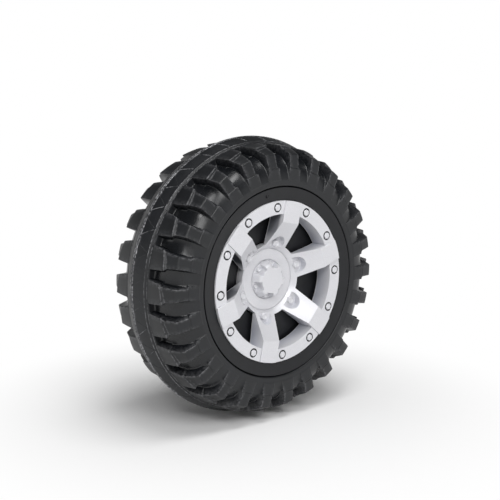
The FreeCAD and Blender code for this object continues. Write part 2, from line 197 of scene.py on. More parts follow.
def silver_paint():
    """Silver paint sprayed on ABS: pale, satin, with flakes that glint a little, and painted shade down the
    windows' walls.
    """
    material, tree = new_material("silver_painted_abs")
    coordinates = add_node(tree, "ShaderNodeTexCoord")
    place = coordinates.outputs["Object"]
    # Flakes are 0.03 mm; drawn at 0.7 mm so that they show.
    flakes = add_node(tree, "ShaderNodeTexNoise", {"Vector": place}, Scale=per(0.714), Detail=1.0)
    tone = add_node(
        tree, "ShaderNodeValToRGB", {"Fac": flakes.outputs["Fac"]},
        stops=[(0.3, "#D2D2D6"), (0.7, "#DCDCE0")])
    bump = add_node(
        tree, "ShaderNodeBump", {"Height": flakes.outputs["Fac"]}, Strength=0.05, Distance=0.0001)
    # The coat settles in clouds of 18 mm, a little smoother or rougher.
    clouds = add_node(tree, "ShaderNodeTexNoise", {"Vector": place}, Scale=per(18.2), Detail=2.0)
    roughness = add_node(
        tree, "ShaderNodeMapRange", {"Value": clouds.outputs["Fac"]},
        From_Min=0.3, From_Max=0.7, To_Min=0.33, To_Max=0.4)
    # Painted shade down the walls of the windows: pale grey that deepens slowly with depth on most
    # walls, and dark grey that is full within 4 mm towards the upper left. Walls are the faces that look
    # sideways.
    normal = add_node(tree, "ShaderNodeSeparateXYZ", {"Vector": coordinates.outputs["Normal"]})
    facing = add_node(tree, "ShaderNodeMath", {0: normal.outputs["Y"]}, operation="ABSOLUTE")
    wall = add_node(
        tree, "ShaderNodeMapRange", {"Value": facing.outputs[0]},
        From_Min=0.1, From_Max=0.45, To_Min=1.0, To_Max=0.0)
    depth = add_node(tree, "ShaderNodeSeparateXYZ", {"Vector": place}).outputs["Y"]
    wall_top = (trim_plane + trim_edge) * MM
    wall_end = (trim_plane + cover_back) * MM
    shade_slowly = add_node(
        tree, "ShaderNodeMapRange", {"Value": depth}, From_Min=wall_top, From_Max=wall_end - 0.5 * MM)
    shade_soon = add_node(
        tree, "ShaderNodeMapRange", {"Value": depth}, From_Min=wall_top, From_Max=wall_top + 4.0 * MM)
    towards = add_node(
        tree, "ShaderNodeVectorMath", {0: place}, {1: (-0.8, 0.0, 0.6)}, operation="DOT_PRODUCT")
    dark_shade_side = add_node(
        tree, "ShaderNodeMapRange", {"Value": towards.outputs["Value"]},
        From_Min=-5.0 * MM, From_Max=62.0 * MM)
    shade_depth = add_node(
        tree, "ShaderNodeMix", {0: dark_shade_side.outputs[0], 2: shade_slowly.outputs[0], 3: shade_soon.outputs[0]},
        data_type="FLOAT")
    # Painted highlight: the walls' back edge, 2 mm wide, keeps the full silver tone.
    edge = add_node(
        tree, "ShaderNodeMapRange", {"Value": depth},
        From_Min=wall_end - 2.3 * MM, From_Max=wall_end - 1.8 * MM, To_Min=1.0, To_Max=0.0)
    # The painted shade stays off the nut pockets and the cap.
    flat = add_node(tree, "ShaderNodeVectorMath", {0: place}, {1: (1.0, 0.0, 1.0)}, operation="MULTIPLY")
    reach = add_node(tree, "ShaderNodeVectorMath", {0: flat.outputs[0]}, operation="LENGTH")
    outside = add_node(
        tree, "ShaderNodeMapRange", {"Value": reach.outputs["Value"]},
        From_Min=50.0 * MM, From_Max=66.0 * MM)
    # Painted shade: on walls, deeper down, away from the hub, and not on the back edge.
    painted_wall_shade = wall
    for share in (shade_depth, edge, outside):
        painted_wall_shade = add_node(
            tree, "ShaderNodeMath", {0: painted_wall_shade.outputs[0], 1: share.outputs[0]}, operation="MULTIPLY")
    # The painted shade's colours: pale grey, and dark grey towards the upper left.
    wall_shade_colour = add_node(
        tree, "ShaderNodeMix", {"Factor": dark_shade_side.outputs[0]},
        {6: linear("#B9BCC7"), 7: linear("#33363C")}, data_type="RGBA")
    painted = add_node(
        tree, "ShaderNodeMix",
        {"Factor": painted_wall_shade.outputs[0], 6: tone.outputs["Color"], 7: wall_shade_colour.outputs[2]}, data_type="RGBA")
    shader = add_node(
        tree, "ShaderNodeBsdfPrincipled",
        {"Base Color": painted.outputs[2], "Roughness": roughness.outputs["Result"],
         "Normal": bump.outputs["Normal"]}, Metallic=0.2, IOR=1.5)
    add_node(tree, "ShaderNodeOutputMaterial", {"Surface": shader.outputs[0]})
    return material


def zinc_steel():
    """Zinc-plated steel: cool grey metal with faint cloudy plating."""
    material, tree = new_material("zinc_plated_steel")
    place = add_node(tree, "ShaderNodeTexCoord").outputs["Object"]
    # The plating's clouds are 4 mm wide.
    clouds = add_node(tree, "ShaderNodeTexNoise", {"Vector": place}, Scale=per(3.85), Detail=3.0)
    tone = add_node(
        tree, "ShaderNodeValToRGB", {"Fac": clouds.outputs["Fac"]},
        stops=[(0.3, "#A9ADB1"), (0.7, "#BDC0C3")])
    roughness = add_node(
        tree, "ShaderNodeMapRange", {"Value": clouds.outputs["Fac"]},
        From_Min=0.3, From_Max=0.7, To_Min=0.28, To_Max=0.4)
    shader = add_node(
        tree, "ShaderNodeBsdfPrincipled",
        {"Base Color": tone.outputs["Color"], "Roughness": roughness.outputs["Result"]}, Metallic=1.0)
    add_node(tree, "ShaderNodeOutputMaterial", {"Surface": shader.outputs[0]})
    return material


def acetal():
    """Moulded acetal of the bushes: off-white, smooth, a little waxy."""
    material, tree = new_material("moulded_acetal")
    place = add_node(tree, "ShaderNodeTexCoord").outputs["Object"]
    # The moulding's clouds are 11 mm wide.
    clouds = add_node(tree, "ShaderNodeTexNoise", {"Vector": place}, Scale=per(11.1), Detail=2.0)
    tone = add_node(
        tree, "ShaderNodeValToRGB", {"Fac": clouds.outputs["Fac"]},
        stops=[(0.3, "#D6D3C8"), (0.7, "#E2E0D8")])
    shader = add_node(
        tree, "ShaderNodeBsdfPrincipled", {"Base Color": tone.outputs["Color"]}, Roughness=0.38, IOR=1.48)
    add_node(tree, "ShaderNodeOutputMaterial", {"Surface": shader.outputs[0]})
    return material


tyre_plastic = moulded_polyethylene()
rim_plastic = moulded_black()
cover_paint = silver_paint()
plated_steel = zinc_steel()
bush_plastic = acetal()


# Mesh helpers

def add_object(name, data):
    """A new object in the scene."""
    thing = bpy.data.objects.new(name, data)
    bpy.context.scene.collection.objects.link(thing)
    return thing


def new_piece(name, points, faces, material, values=None, weld=0.0):
    """A closed piece in metres, smooth shaded, with optional named values for each point."""
    mesh = bpy.data.meshes.new(name)
    mesh.from_pydata(points, [], faces)
    mesh.validate()
    for key, numbers in (values or {}).items():
        layer = mesh.attributes.new(key, "FLOAT", "POINT")
        layer.data.foreach_set("value", numbers)
    mesh.materials.append(material)
    piece = add_object(name, mesh)
    outward(piece, weld)
    return piece


def outward(piece, weld=0.0):
    """Turns every face of a closed mesh outward, smooths it and joins points within the weld."""
    work = bmesh.new()
    work.from_mesh(piece.data)
    if weld:
        bmesh.ops.remove_doubles(work, verts=work.verts, dist=weld)
    bmesh.ops.recalc_face_normals(work, faces=work.faces)
    for face in work.faces:
        face.smooth = True
    work.to_mesh(piece.data)
    work.free()


def keep_flats(piece, angle=None):
    """Shading that leaves large faces flat and turns only over the small ones at edges."""
    if angle is not None:
        work = bmesh.new()
        work.from_mesh(piece.data)
        limit = math.radians(angle)
        for edge in work.edges:
            if len(edge.link_faces) == 2 and edge.calc_face_angle(0.0) > limit:
                edge.smooth = False
        work.to_mesh(piece.data)
        work.free()
    weighted = piece.modifiers.new("even_shading", "WEIGHTED_NORMAL")
    weighted.keep_sharp = True
    weighted.weight = 60
    return piece


def apply_modifiers(piece):
    """Replaces the piece's mesh by what its modifiers make of it."""
    graph = bpy.context.evaluated_depsgraph_get()
    made = bpy.data.meshes.new_from_object(piece.evaluated_get(graph))
    piece.modifiers.clear()
    old = piece.data
    piece.data = made
    bpy.data.meshes.remove(old)


def rounded(profile, steps=3):
    """A closed outline of (radius, y, corner radius) with its corners turned into arcs."""
    points = []
    count = len(profile)
    for i, (r, y, corner) in enumerate(profile):
        here = Vector((r, y))
        if corner <= 0:
            points.append(here)
            continue
        before = Vector(profile[i - 1][:2]) - here
        after = Vector(profile[(i + 1) % count][:2]) - here
        half = before.angle(after) / 2
        back = min(corner / math.tan(half), before.length * 0.48, after.length * 0.48)
        start = here + before.normalized() * back
        end = here + after.normalized() * back
        for k in range(steps + 1):
            t = k / steps
            points.append(start * (1 - t) ** 2 + here * 2 * t * (1 - t) + end * t ** 2)
    return points


turned_sides = 180


def turned_ring(name, profile, material):
    """A ring or disc about the axle from a closed outline."""
    outline = rounded(profile)
    count = len(outline)
    points = []
    faces = []
    for i in range(turned_sides):
        j = (i + 1) % turned_sides
        for r, y in outline:
            points.append(on_wheel(r, i * 360.0 / turned_sides, y))
        for k in range(count):
            m = (k + 1) % count
            faces.append((i * count + k, j * count + k, j * count + m, i * count + m))
    return keep_flats(new_piece(name, points, faces, material, weld=0.001 * MM))


def ring_points(centre, rings, sides):
    """Points of round rings that face the front: each is (radius, depth behind the centre)."""
    points = []
    for radius, depth in rings:
        for i in range(sides):
            a = 2 * math.pi * i / sides
            points.append(centre + Vector((radius * math.cos(a), depth, radius * math.sin(a))) * MM)
    return points


def ring_faces(rings, sides, first):
    """Faces from ring to ring and over both ends, from the first ring's first point on."""
    last = first + (rings - 1) * sides
    faces = []
    for start in range(first, last, sides):
        for i in range(sides):
            j = (i + 1) % sides
            faces.append((start + i, start + j, start + sides + j, start + sides + i))
    faces.append(tuple(range(first, first + sides)))
    faces.append(tuple(range(last, last + sides)))
    return faces


# Tyre

def crown(h):
    """Radius of the band at a half width: a low roof, rounded a little."""
    return tyre_radius - 0.17 * h - 0.0095 * h * h


# Rows of the band as (half width, lift over the crown, pale share): the mould's twin flash lines along its
# top, with scuffs, and, along each edge, two thin ridges with a groove between them, with a painted
# highlight.
band_rows = [
    (0.0, 0.1, 0.3), (0.8, 0.1, 0.3), (1.2, 0.5, 1.0), (1.9, 0.55, 1.0), (2.4, 0.1, 0.5), (3.2, 0.0, 0.1),
    (5.0, 0.0, 0.0), (10.0, 0.0, 0.0), (14.5, 0.0, 0.0), (17.7, 0.0, 0.0), (18.2, 0.45, 0.1),
    (18.7, 0.55, 0.7), (19.2, 0.5, 0.1), (19.8, 0.1, 0.0), (20.3, -0.75, 0.0), (21.1, -0.75, 0.0),
    (21.5, 0.1, 0.0), (21.9, 0.5, 0.6), (22.5, 0.45, 0.1),
]
# Lines along the section from the band's edge (place 0) to the bead (place 92), each point as
# (place, half width, radius): the gap's floor, and the lug's top with its crown face, shoulder face,
# side face and bar. Both end in the same smooth bead.
bead_line = [
    (82.0, 69.4, 133.2), (86.0, 69.2, 130.0), (88.0, 69.1, 128.4), (90.0, 68.5, 127.1), (91.0, 67.4, 126.5),
    (92.0, 65.4, 126.2),
]
floor_line = [
    (0.0, 22.9, 179.4), (0.8, 23.5, 179.0), (1.6, 23.6, 178.2), (4.2, 23.1, 170.8), (5.2, 24.0, 169.2),
    (7.0, 26.6, 168.9), (16.0, 34.0, 168.2), (26.0, 41.2, 166.6), (35.0, 47.9, 164.2), (44.0, 54.2, 160.8),
    (52.5, 59.4, 156.7), (59.0, 62.9, 152.7), (64.2, 65.2, 148.9), (70.0, 67.3, 143.6), (76.0, 68.7, 138.2),
    (80.4, 69.4, 134.5),
] + bead_line
top_line = [
    (0.0, 22.9, 179.4), (0.8, 23.7, 179.5), (1.6, 24.5, 179.5), (14.0, 36.6, 179.0), (23.6, 46.2, 178.1),
    (24.4, 47.0, 177.9), (25.0, 47.5, 177.4), (25.5, 47.8, 176.7), (26.1, 48.2, 175.6), (26.9, 49.0, 175.1),
    (36.0, 57.2, 172.1), (44.0, 64.4, 169.0), (44.8, 65.1, 168.5), (45.5, 65.6, 167.8), (46.2, 65.9, 167.0),
    (54.0, 67.6, 159.4), (61.4, 69.0, 151.9), (62.2, 69.0, 151.2), (62.7, 68.6, 150.8), (63.2, 68.9, 150.1),
    (63.7, 69.6, 149.7), (64.2, 69.8, 149.2), (74.0, 69.9, 140.0), (80.4, 69.9, 134.6),
] + bead_line
# By place: the lug's low and high edge in degrees from its middle, how far its two feet spread,
# how far the place leans across the lug, and how much radius it loses with that.
side_line = [
    (0.0, 4.14, 5.6, 0.0, 0.0, 0.0, 0.06), (1.6, 4.12, 5.58, 0.8, 0.8, 0.0, 0.06),
    (8.0, 3.9, 5.5, 1.4, 1.2, 0.7, 0.06), (24.4, 3.2, 5.1, 1.6, 1.3, 3.4, 0.06),
    (25.5, 3.0, 4.7, 1.9, 1.5, 3.4, 0.1), (26.9, 2.4, 4.1, 2.5, 1.8, 3.1, 0.38),
    (44.0, 1.75, 3.65, 3.2, 1.9, 0.2, 0.42), (61.4, 1.9, 3.6, 3.3, 1.9, 0.0, 0.2),
    (62.7, 2.7, 3.75, 1.6, 1.4, 0.0, 0.0), (64.2, 3.3, 3.95, 0.5, 0.8, 0.0, 0.0),
    (80.4, 3.8, 4.3, 0.3, 0.4, 0.0, 0.0), (92.0, 3.8, 4.3, 0.3, 0.4, 0.0, 0.0),
]
# By place: how much painted highlight a lug's top gets at the fold between its crown and its side.
fold_shine = [
    (0.0, 0.0), (23.6, 0.0), (24.4, 0.9), (25.0, 0.4), (25.5, 0.0), (26.1, 0.0), (26.9, 0.6), (28.5, 0.0),
    (92.0, 0.0),
]
# The gap's floor lies bare between these places, from the band's foot to the end of the bars.
floor_start = 7.0
floor_end = 80.4
# The places where the skin has a row of points.
tyre_places = [
    0.0, 0.8, 1.6, 2.4, 4.2, 5.2, 7.0, 10.0, 14.0, 18.0, 21.5, 23.6, 24.4, 25.0, 25.5, 26.1, 26.9, 28.5,
    31.0, 33.5, 36.0, 38.0, 40.0, 42.0, 44.0, 44.8, 45.5, 46.2, 48.0, 50.0, 52.0, 54.0, 56.0, 58.0, 60.0,
    61.4, 62.2, 62.7, 63.2, 63.7, 64.2, 66.0, 68.0, 70.0, 72.0, 75.0, 79.0, 80.4, 81.2, 82.0, 84.0, 86.0,
    88.0, 89.0, 90.0, 90.5, 91.0, 92.0,
]
# From the bead's heel back into the hollow and to the middle, as (half width, radius).
bead_heel = [(65.2, 125.6), (63.8, 125.4)]
tyre_inside = [
    (55.0, 125.5), (55.0, 129.0), (61.5, 130.0), (59.5, 146.0), (52.5, 154.0), (36.0, 162.0), (18.0, 165.5),
    (0.0, 167.0),
]
# Rounding of a lug's top edges and of its feet, and its flanks' lean in degrees.
edge_round = 0.9
foot_round = 1.1
flank_lean = 0.03
# How strong the painted highlight is on a lug's edges and at its fold.
edge_shine_strength = 0.3
fold_shine_strength = 0.28
# A lug's low edge gets more painted highlight than its high edge, and less where the lug is under 5 mm high.
low_edge_shine = 0.75
high_edge_shine = 0.4
full_shine_height = 5.0
# The floor is polished fully where the lugs stand 7 mm above it.
full_polish_height = 7.0


def along(line, place):
    """The values of a line at a place, straight between its points."""
    for before, after in zip(line, line[1:]):
        if place <= after[0]:
            share = (place - before[0]) / (after[0] - before[0])
            return [a + (b - a) * share for a, b in zip(before[1:], after[1:])]
    return list(line[-1][1:])


def gap_floor(place):
    """Half width and radius of the gap's floor at a place, its bends smoothed where it is bare."""
    if not floor_start < place < floor_end:
        return along(floor_line, place)
    reach = min(6.0, place - floor_start, floor_end - place)
    samples = [along(floor_line, place + reach * k / 4) for k in range(-4, 5)]
    return [sum(values) / len(samples) for values in zip(*samples)]


def lug_columns(place, height, radius):
    """One pitch of a row: degrees from the lug's middle, share of its height, and painted edge highlight."""
    low, high, foot_low, foot_high = along(side_line, place)[:4]
    degree = 180 / math.pi / radius
    soft = min(edge_round, height * 0.4)
    drop = soft / height if height > 0.01 else 0.0
    shine_share = min(1.0, height / full_shine_height)

    def side(edge, foot, edge_shine):
        """From the gap up to the top: the foot's hollow curve, the flank and the rounded edge."""
        return [
            (edge + (foot + foot_round) * degree, 0.0, 0.0),
            (edge + foot * 0.72 * degree, 0.13, 0.0),
            (edge + flank_lean, 1 - drop, edge_shine / 2),
            (edge - 0.3 * soft * degree, 1 - drop * 0.3, edge_shine),
            (edge - soft * degree, 1.0, edge_shine / 2),
        ]

    columns = [(-lug_pitch / 2, 0.0, 0.0)]
    columns += [(-a, share, edge_shine) for a, share, edge_shine in side(low, foot_low, low_edge_shine * shine_share)]
    columns += [(-low * 0.4, 1.0, 0.0), (0.4, 1.0, 0.0), (high * 0.45, 1.0, 0.0)]
    columns += reversed(side(high, foot_high, high_edge_shine * shine_share))
    return columns


def tyre_loop(place, side):
    """All points of one row of the skin round the tyre, with their painted highlight and polish."""
    floor_h, floor_r = gap_floor(place)
    top_h, top_r = along(top_line, place)
    low, high, _, _, slant, fall = along(side_line, place)
    height = math.hypot(top_h - floor_h, top_r - floor_r)
    fold = along(fold_shine, place)[0]
    gloss = min(1.0, height / full_polish_height)
    points = []
    scuff_and_shine = []
    polish = []
    for k in range(lug_count):
        centre = lug_phase + k * lug_pitch
        for offset, share, edge_shine in lug_columns(place, height, top_r):
            across = max(-1.0, min(1.0, offset / (high if offset > 0 else low)))
            lean = slant * across * share
            h = floor_h + (top_h - floor_h) * share + lean
            r = floor_r + (top_r - floor_r) * share - fall * lean
            points.append(on_wheel(r, centre + offset, tyre_centre + side * h))
            scuff_and_shine.append(edge_shine * edge_shine_strength + (fold * fold_shine_strength if share == 1 else 0.0))
            polish.append(gloss if share < 0.5 else 0.0)
    return points, scuff_and_shine, polish


def plain_loop(h, r, side):
    """A row without lugs, with the same points round the tyre as the others."""
    points = []
    for k in range(lug_count):
        centre = lug_phase + k * lug_pitch
        for offset, _, _ in lug_columns(0.0, 0.0, tyre_radius):
            points.append(on_wheel(r, centre + offset, tyre_centre + side * h))
    return points, [0.0] * len(points), [0.0] * len(points)


# The flash lies within this half width. It is torn every 8 mm, and its scuffs and the ridges' painted
# highlights change over 40 mm; each row and side of the band has its own tears.
flash_half = 3.0
tear_scale = 120.0
scuff_and_shine_scale = 26.0


def band_loop(h, lift, scuff_and_shine_share, side):
    """A row of the band, with the flash along its top torn a little, and its scuffs and painted highlights in
    stretches.
    """
    points, _, polish = plain_loop(h, crown(h) + lift, side)
    torn = []
    scuff_and_shine = []
    for place in points:
        tear = 0.0
        if h < flash_half:
            tear = noise.noise(Vector((place.x, place.z, 0.02 * side * h)) * tear_scale)
        torn.append(place + Vector((0, 0.7 * tear * MM, 0)) - place.normalized() * abs(tear) * 0.3 * MM)
        stretch = noise.noise(Vector((place.x, place.z, 0.004 * side)) * scuff_and_shine_scale)
        scuff_and_shine.append(scuff_and_shine_share * max(0.15, min(1.0, 0.6 + 1.2 * stretch)))
    return torn, scuff_and_shine, polish


def tyre_skin():
    """The whole tyre as one closed skin: band, lugs of both sides, side bars, beads and hollow."""
    loops = []
    for side in (-1, 1):
        rows = [band_loop(h, lift, scuff_and_shine_share, side) for h, lift, scuff_and_shine_share in band_rows]
        rows += [tyre_loop(place, side) for place in tyre_places]
        rows += [plain_loop(h, r, side) for h, r in bead_heel + tyre_inside]
        loops += rows[::-1] if side < 0 else rows[1:-1]
    points = []
    scuff_and_shine = []
    polish = []
    for loop_points, loop_wear, loop_polish in loops:
        points += loop_points
        scuff_and_shine += loop_wear
        polish += loop_polish
    around = len(loops[0][0])
    faces = []
    for i in range(len(loops)):
        j = (i + 1) % len(loops)
        for k in range(around):
            m = (k + 1) % around
            faces.append((i * around + k, i * around + m, j * around + m, j * around + k))
    values = {"scuff_and_shine": scuff_and_shine, "polish": polish}
    return keep_flats(new_piece("tyre_skin", points, faces, tyre_plastic, values))


panel_count = 36
panel_phase = 3.8
panel_lift = 0.25
# Rows of a panel as (half width of the band, half of the panel's own width in degrees).
panel_rows = [(2.4, 3.2), (5.0, 2.7), (9.0, 1.9), (13.0, 1.1), (16.6, 0.4)]


def band_panels():
    """Thin raised triangles on both halves of the band, base at the seam and tip at the ridge."""
    points = []
    faces = []
    scuff_and_shine = []
    for side in (-1, 1):
        for k in range(panel_count):
            centre = panel_phase + k * 360.0 / panel_count
            first = len(points)
            for h, half in panel_rows:
                # From foot to foot over the panel: degrees, lift and painted highlight. One edge gets a
                # painted highlight.
                section = (
                    (-half - 0.2, -panel_lift, 0.0), (-half, panel_lift, 0.0), (0.25 - half, panel_lift, 0.0),
                    (half - 0.25, panel_lift, 0.0), (half, panel_lift, 1.0), (half + 0.2, -panel_lift, 0.0))
                for offset, lift, edge_shine in section:
                    points.append(on_wheel(crown(h) + lift, centre + offset, tyre_centre + side * h))
                    stretch = noise.noise(points[-1] * 14)
                    scuff_and_shine.append(edge_shine * max(0.03, min(0.5, 0.12 + 1.2 * stretch)))
            faces += ring_faces(len(panel_rows), len(section), first)
    piece = new_piece("band_panels", points, faces, tyre_plastic, {"scuff_and_shine": scuff_and_shine})
    return keep_flats(piece, angle=25)


# Rim

# What both halves share: the wall's thickness, the hub's tube and the drum under the bead.
rim_wall = 3.0
tube_bore = 11.1
tube_outer = 17.0
drum_inner = bead_radius - rim_wall


def rim_outer():
    """Outer rim half: flange ring, the seat for the cover, barrel, disc and the axle's well."""
    face = trim_plane
    seat = face + 3.2
    disc = face + 30.0
    well_end = face + 60.0
    well = 50.5
    well_outer = 55.0
    barrel = 94.0
    barrel_outer = barrel + rim_wall
    lip = trim_radius + 0.6
    return turned_ring("rim_outer", [
        (tube_bore, well_end, 0), (well, well_end, 1.5), (well, disc, 1.5), (barrel, disc, 2.0),
        (barrel, seat, 1.0), (lip, seat, 0), (lip + 0.1, face + 1.7, 0.6), (125.0, face - 1.5, 0.7),
        (125.5, face + 0.4, 0.4), (bead_radius, face + 1.6, 0), (bead_radius, face + 12.0, 0.5),
        (drum_inner, face + 12.0, 0.5), (drum_inner, seat + rim_wall, 1.0),
        (barrel_outer, seat + rim_wall, 1.0), (barrel_outer, disc + rim_wall, 1.5),
        (well_outer, disc + rim_wall, 1.5), (well_outer, well_end + rim_wall, 1.5),
        (tube_outer, well_end + rim_wall, 1.0), (tube_outer, tyre_centre, 0), (tube_bore, tyre_centre, 0),
    ], rim_plastic)


def rim_inner():
    """Inboard rim half: nearly flush disc with one step, a flange ring and the hub's tube."""
    face = -25.4
    step = face - 5.0
    disc = 88.0
    flange = tyre_centre + 66.9
    flange_inner = drum_inner - 1.0
    return turned_ring("rim_inner", [
        (tube_bore, tyre_centre, 0), (tube_outer, tyre_centre, 0), (tube_outer, face - rim_wall, 1.0),
        (disc - rim_wall, face - rim_wall, 1.0), (disc - rim_wall, step - rim_wall, 1.0),
        (drum_inner, step - rim_wall, 1.0), (drum_inner, flange - 12.0, 0), (bead_radius, flange - 12.0, 0),
        (bead_radius, flange - 0.6, 0.5), (124.6, flange, 0.5), (flange_inner, flange, 0.6),
        (flange_inner, step, 1.0), (disc, step, 1.0), (disc, face, 0.8), (tube_bore, face, 0.4),
    ], rim_plastic)


def vent_nub():
    """Moulding vent on the flange ring."""
    nub_circle = 116.4
    nub_angle = 101.0
    sides = 18
    rings = ((2.4, 0.6), (2.3, -0.6), (1.9, -1.2), (1.1, -1.5), (0.8, -1.1))
    points = ring_points(on_wheel(nub_circle, nub_angle, trim_plane), rings, sides)
    faces = ring_faces(len(rings), sides, 0)
    return keep_flats(new_piece("vent_nub", points, faces, rim_plastic), angle=50)


# Spoke cover

def spoke_half_width(u):
    """Half width of a spoke at a distance along its middle line."""
    if u >= bend_at:
        share = (u - bend_at) / (trim_radius - bend_at)
        return spoke_half_bend + (spoke_half_outer - spoke_half_bend) * share
    share = (bend_at - u) / (bend_at - hub_edge)
    return spoke_half_bend + (spoke_half_root - spoke_half_bend) * share


def spoke_depth(u):
    """How far a spoke's face lies behind the ring's face."""
    return -spoke_lift if u >= bend_at else -spoke_lift + (bend_at - u) * slope


def edge_angle(radius):
    """Where a spoke's side crosses a circle: distance along the spoke and half angle."""
    u = radius
    for _ in range(30):
        w = spoke_half_width(u)
        u = math.sqrt(radius * radius - w * w)
    return u, math.degrees(math.atan2(spoke_half_width(u), u))


# How many steps a spoke is wide, and how many a window is long at its circle and at the hub.
spoke_steps = 4
window_steps = 12
hub_steps = 4
# Depths of the corners under a spoke's face, and the lines of a window's outline: each has its
# circle, its depth, and the tag and row of the spokes' corners between which it runs.
under_depth = {"back": cover_back, "ring": 0.0, "rim": trim_edge}
window_lines = {
    "hub": (hub_edge, hub_edge_depth, "spoke", 0),
    "hub_low": (hub_edge, cover_back, "back", 0),
    "window": (window_outer, 0.0, "ring", 2),
    "window_low": (window_outer, cover_back, "back", 2),
    "outer": (trim_radius, 0.0, "ring", 3),
    "outer_low": (trim_radius, trim_edge, "rim", 3),
}


def cover_front():
    """Spokes, ring and window walls of the cover, still open at the hub and behind the ring."""
    work = bmesh.new()
    made = {}

    def corner(key, radius, degrees, depth):
        """The vertex of that key, made the first time that it is asked for."""
        if key not in made:
            made[key] = work.verts.new(on_wheel(radius, degrees, trim_plane + depth))
        return made[key]

    def quad(first, second, i):
        """The face at a step between two rows of corners, with each corner in it only once."""
        kept = list(dict.fromkeys((first(i), first(i + 1), second(i + 1), second(i))))
        if len(kept) > 2:
            work.faces.new(kept)

    for s in range(spoke_count):
        middle = spoke_phase + s * spoke_pitch

        def on_spoke(row, i):
            """A vertex of the spoke's face: row 0 hub, 1 bend, 2 window circle, 3 outer edge."""
            share = -1 + 2 * i / spoke_steps
            if row == 1:
                u = bend_at
                w = spoke_half_bend * share
            else:
                radius = (hub_edge, 0, window_outer, trim_radius)[row]
                w = spoke_half_width(edge_angle(radius)[0]) * share
                u = math.sqrt(radius * radius - w * w)
            depth = hub_edge_depth if row == 0 else spoke_depth(u)
            angle = middle + math.degrees(math.atan2(w, u))
            return corner(("spoke", s, row, i), math.hypot(u, w), angle, depth)

        def under(tag, row, i):
            """The vertex behind one of the spoke's face."""
            top = on_spoke(row, i).co / MM
            angle = math.degrees(math.atan2(top.z, top.x))
            return corner((tag, s, row, i), math.hypot(top.x, top.z), angle, under_depth[tag])

        def on_window(line, j):
            """A vertex of the window between this spoke and the next one."""
            radius, depth, tag, row = window_lines[line]
            steps = hub_steps if row == 0 else window_steps
            if j == 0:
                return made[(tag, s, row, spoke_steps)]
            half = edge_angle(radius)[1]
            start = middle + half
            end = middle + spoke_pitch - half
            if j == steps:
                return corner((tag, (s + 1) % spoke_count, row, 0), radius, end, depth)
            return corner((line, s, j), radius, start + (end - start) * j / steps, depth)

        for row in range(3):
            for i in range(spoke_steps):
                quad(lambda k: on_spoke(row, k), lambda k: on_spoke(row + 1, k), i)
        for i in (0, spoke_steps):
            for row in (0, 1):
                quad(lambda k: on_spoke(k, i), lambda k: under("back", k, i), row)
            quad(lambda k: on_spoke(k, i), lambda k: under("ring", k, i), 2)
        for row in range(2):
            for i in range(spoke_steps):
                quad(lambda k: under("back", row, k), lambda k: under("back", row + 1, k), i)
        for i in range(spoke_steps):
            quad(lambda k: on_spoke(3, k), lambda k: under("rim", 3, k), i)
        for j in range(hub_steps):
            quad(lambda k: on_window("hub", k), lambda k: on_window("hub_low", k), j)
        for j in range(window_steps):
            for upper, lower in (("window", "outer"), ("window", "window_low"), ("outer", "outer_low")):
                quad(lambda k: on_window(upper, k), lambda k: on_window(lower, k), j)
    return work, made


def cover_mesh():
    """The closed cover: its front, the hub's cone and bore, and the back of the ring."""
    work, made = cover_front()

    def all_round(tag, row, line, steps):
        """Vertices all the way round, across each spoke and along each window."""
        loop = []
        for s in range(spoke_count):
            loop += [made[(tag, s, row, i)] for i in range(spoke_steps + 1)]
            loop += [made[(line, s, j)] for j in range(1, steps)]
        return loop

    def shifted(loop, radius, depth):
        """New vertices at the same angles as a loop's, on a circle at a depth."""
        verts = []
        for v in loop:
            angle = math.degrees(math.atan2(v.co.z, v.co.x))
            verts.append(work.verts.new(on_wheel(radius, angle, trim_plane + depth)))
        return verts

    def bridge(*loops):
        """Faces from each loop to the next."""
        for first, second in zip(loops, loops[1:]):
            for i in range(len(first)):
                j = (i + 1) % len(first)
                work.faces.new((first[i], first[j], second[j], second[i]))

    hub_top = all_round("spoke", 0, "hub", hub_steps)
    bridge(hub_top, shifted(hub_top, cap_bore, cap_edge_depth), shifted(hub_top, cap_bore, hub_back),
           shifted(hub_top, hub_edge, hub_back), all_round("back", 0, "hub_low", hub_steps))
    wall_outer = window_outer + cover_wall
    wall_low = all_round("back", 2, "window_low", window_steps)
    bridge(wall_low, shifted(wall_low, wall_outer, cover_back), shifted(wall_low, wall_outer, trim_edge),
           all_round("rim", 3, "outer_low", window_steps))
    bmesh.ops.recalc_face_normals(work, faces=work.faces)
    mesh = bpy.data.meshes.new("spoke_cover_face")
    work.to_mesh(mesh)
    work.free()
    return mesh


pocket_circle = 47.8
pocket_radius = 11.4
pocket_floor = 23.0
nut_circle = 49.0
recess_radius = 6.2
recess_depth = 1.0
round_sides = 40


def cover_cuts():
    """The round bodies that cut the nut pockets and the recesses of the bolts."""
    pocket = (
        (pocket_radius, -40.0), (pocket_radius, -1.2), (pocket_radius - 0.3, -0.4),
        (pocket_radius - 1.1, 0.0))
    recess = (
        (recess_radius + 0.9, -0.9), (recess_radius + 0.3, 0.0), (recess_radius, 0.3),
        (recess_radius, recess_depth))
    places = []
    for s in range(spoke_count):
        angle = spoke_phase + s * spoke_pitch
        places.append((on_wheel(pocket_circle, angle, trim_plane + pocket_floor), pocket))
    for i in range(bolt_count):
        places.append((on_wheel(bolt_circle, bolt_phase + i * bolt_pitch, trim_plane), recess))
    points = []
    faces = []
    for centre, rings in places:
        faces += ring_faces(len(rings), round_sides, len(points))
        points += ring_points(centre, rings, round_sides)
    mesh = bpy.data.meshes.new("cover_cuts")
    mesh.from_pydata(points, [], faces)
    cuts = add_object("cover_cuts", mesh)
    outward(cuts)
    return cuts


